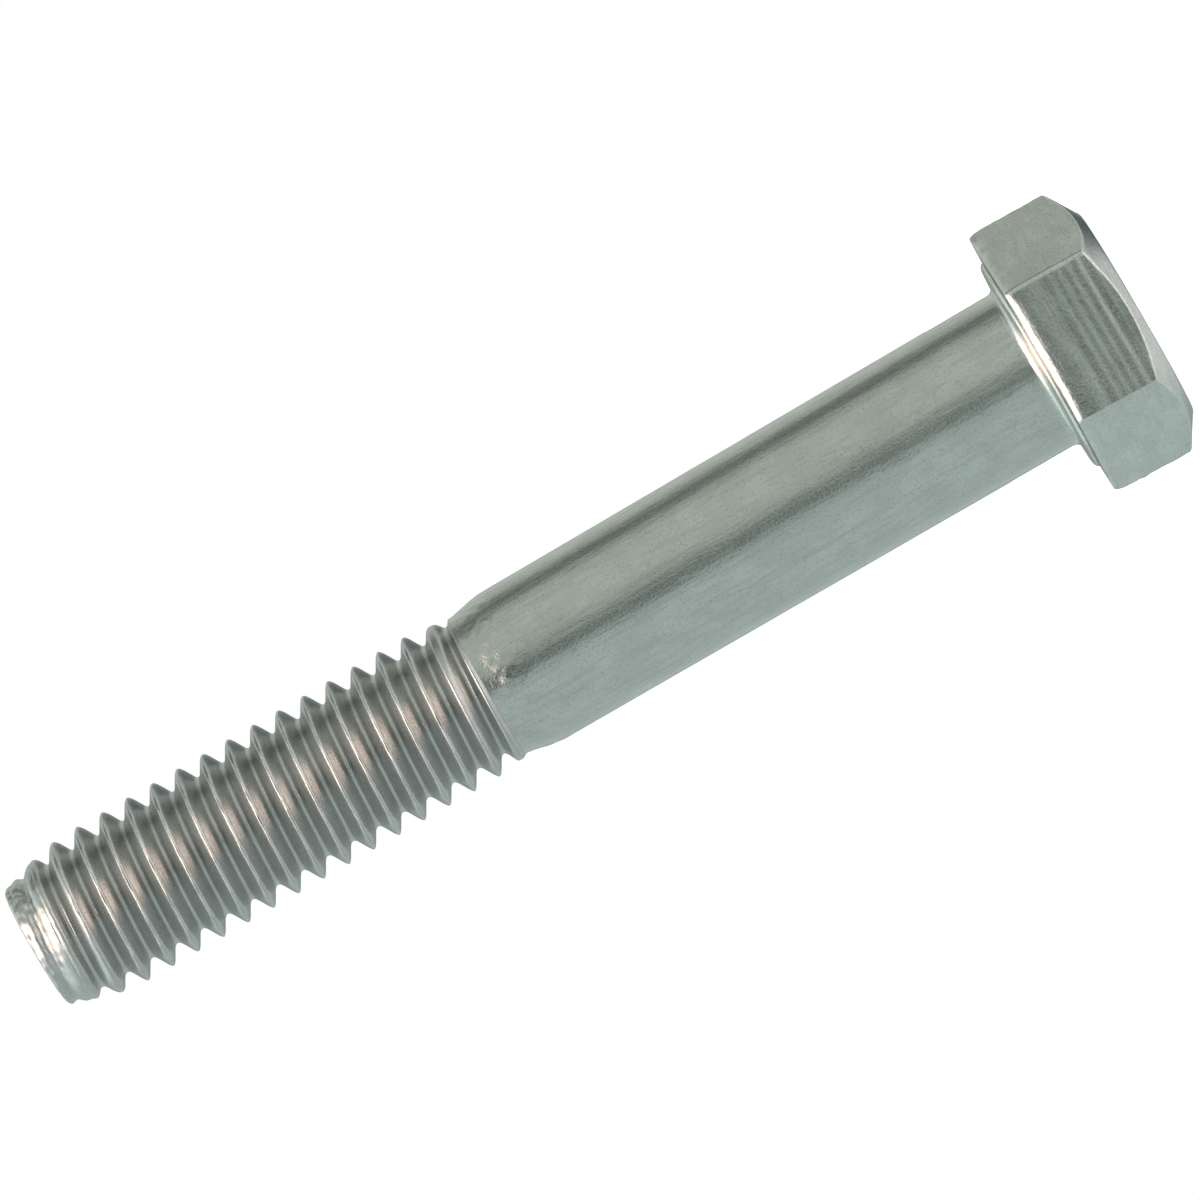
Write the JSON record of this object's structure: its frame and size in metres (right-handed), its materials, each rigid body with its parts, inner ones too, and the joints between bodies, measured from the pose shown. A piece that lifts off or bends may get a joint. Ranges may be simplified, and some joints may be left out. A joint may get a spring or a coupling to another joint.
{
  "type": "hex bolt",
  "caption": "Partly threaded hex bolt with a washer face, plain shank and chamfered point, left-hand thread, plain stainless steel.",
  "frame": {"origin": "centre of the bearing face under the head, on the bolt's axis", "axes": "+Z along the bolt's axis from the head to the point, so the bolt stands on the flat top of its head; +X towards a corner of the hexagon"},
  "size_m": [0.0164, 0.0142, 0.0694],
  "materials": {
    "forged_steel": "satin, cold forged, with trim marks round the hexagon",
    "drawn_steel": "smooth drawn, with fine lengthwise marks",
    "rolled_steel": "bright, burnished by thread rolling"
  },
  "bodies": {
    "root": {"hex_head": "forged_steel", "washer_face": "forged_steel", "underhead_fillet": "forged_steel", "shank": "drawn_steel", "transition_neck": "drawn_steel", "thread_runout": "rolled_steel", "thread": "rolled_steel", "point": "rolled_steel"}
  },
  "joints": []
}
